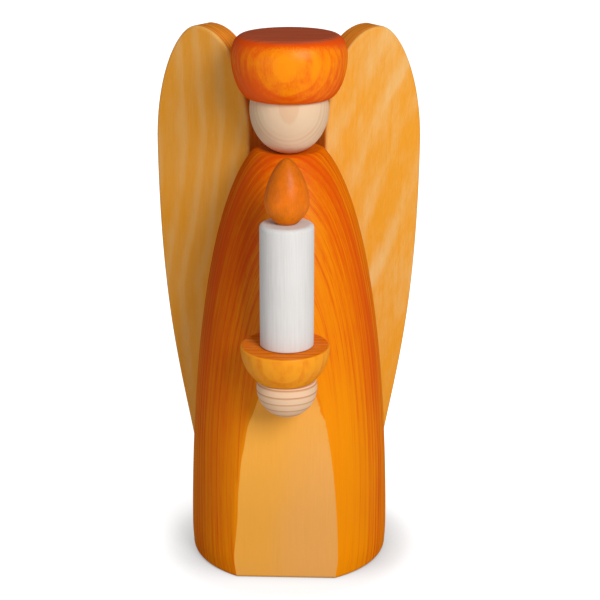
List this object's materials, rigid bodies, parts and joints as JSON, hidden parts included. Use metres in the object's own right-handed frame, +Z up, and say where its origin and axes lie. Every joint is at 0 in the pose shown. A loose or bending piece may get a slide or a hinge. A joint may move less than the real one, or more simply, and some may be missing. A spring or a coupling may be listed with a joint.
{
  "type": "angel candle holder",
  "caption": "Turned wooden angel figure with swept board wings and a tall hat, whose round hand holds a cup with a painted wooden candle and flame.",
  "frame": {"origin": "centre of the turned body's underside, on the surface that the figure stands on", "axes": "+Z up along the body's axis; the figure looks along -Y, and +X is its left hand side"},
  "size_m": [0.1188, 0.1173, 0.2336],
  "materials": {
    "body_glaze": "orange glaze, satin",
    "hat_glaze": "red-orange glaze, satin",
    "wing_glaze": "honey yellow glaze, satin",
    "cup_glaze": "honey yellow glaze, satin",
    "flame_glaze": "orange glaze, satin",
    "pale_wood": "natural, matt",
    "candle_paint": "white paint, satin"
  },
  "bodies": {
    "root": {"body": "body_glaze", "head": "pale_wood", "hat": "hat_glaze", "neck_dowel": "pale_wood", "left_wing": "wing_glaze", "right_wing": "wing_glaze", "hand": "pale_wood", "hand_dowel": "pale_wood", "candle_cup": "cup_glaze", "candle": "candle_paint", "candle_dowel": "pale_wood", "flame": "flame_glaze"}
  },
  "joints": []
}
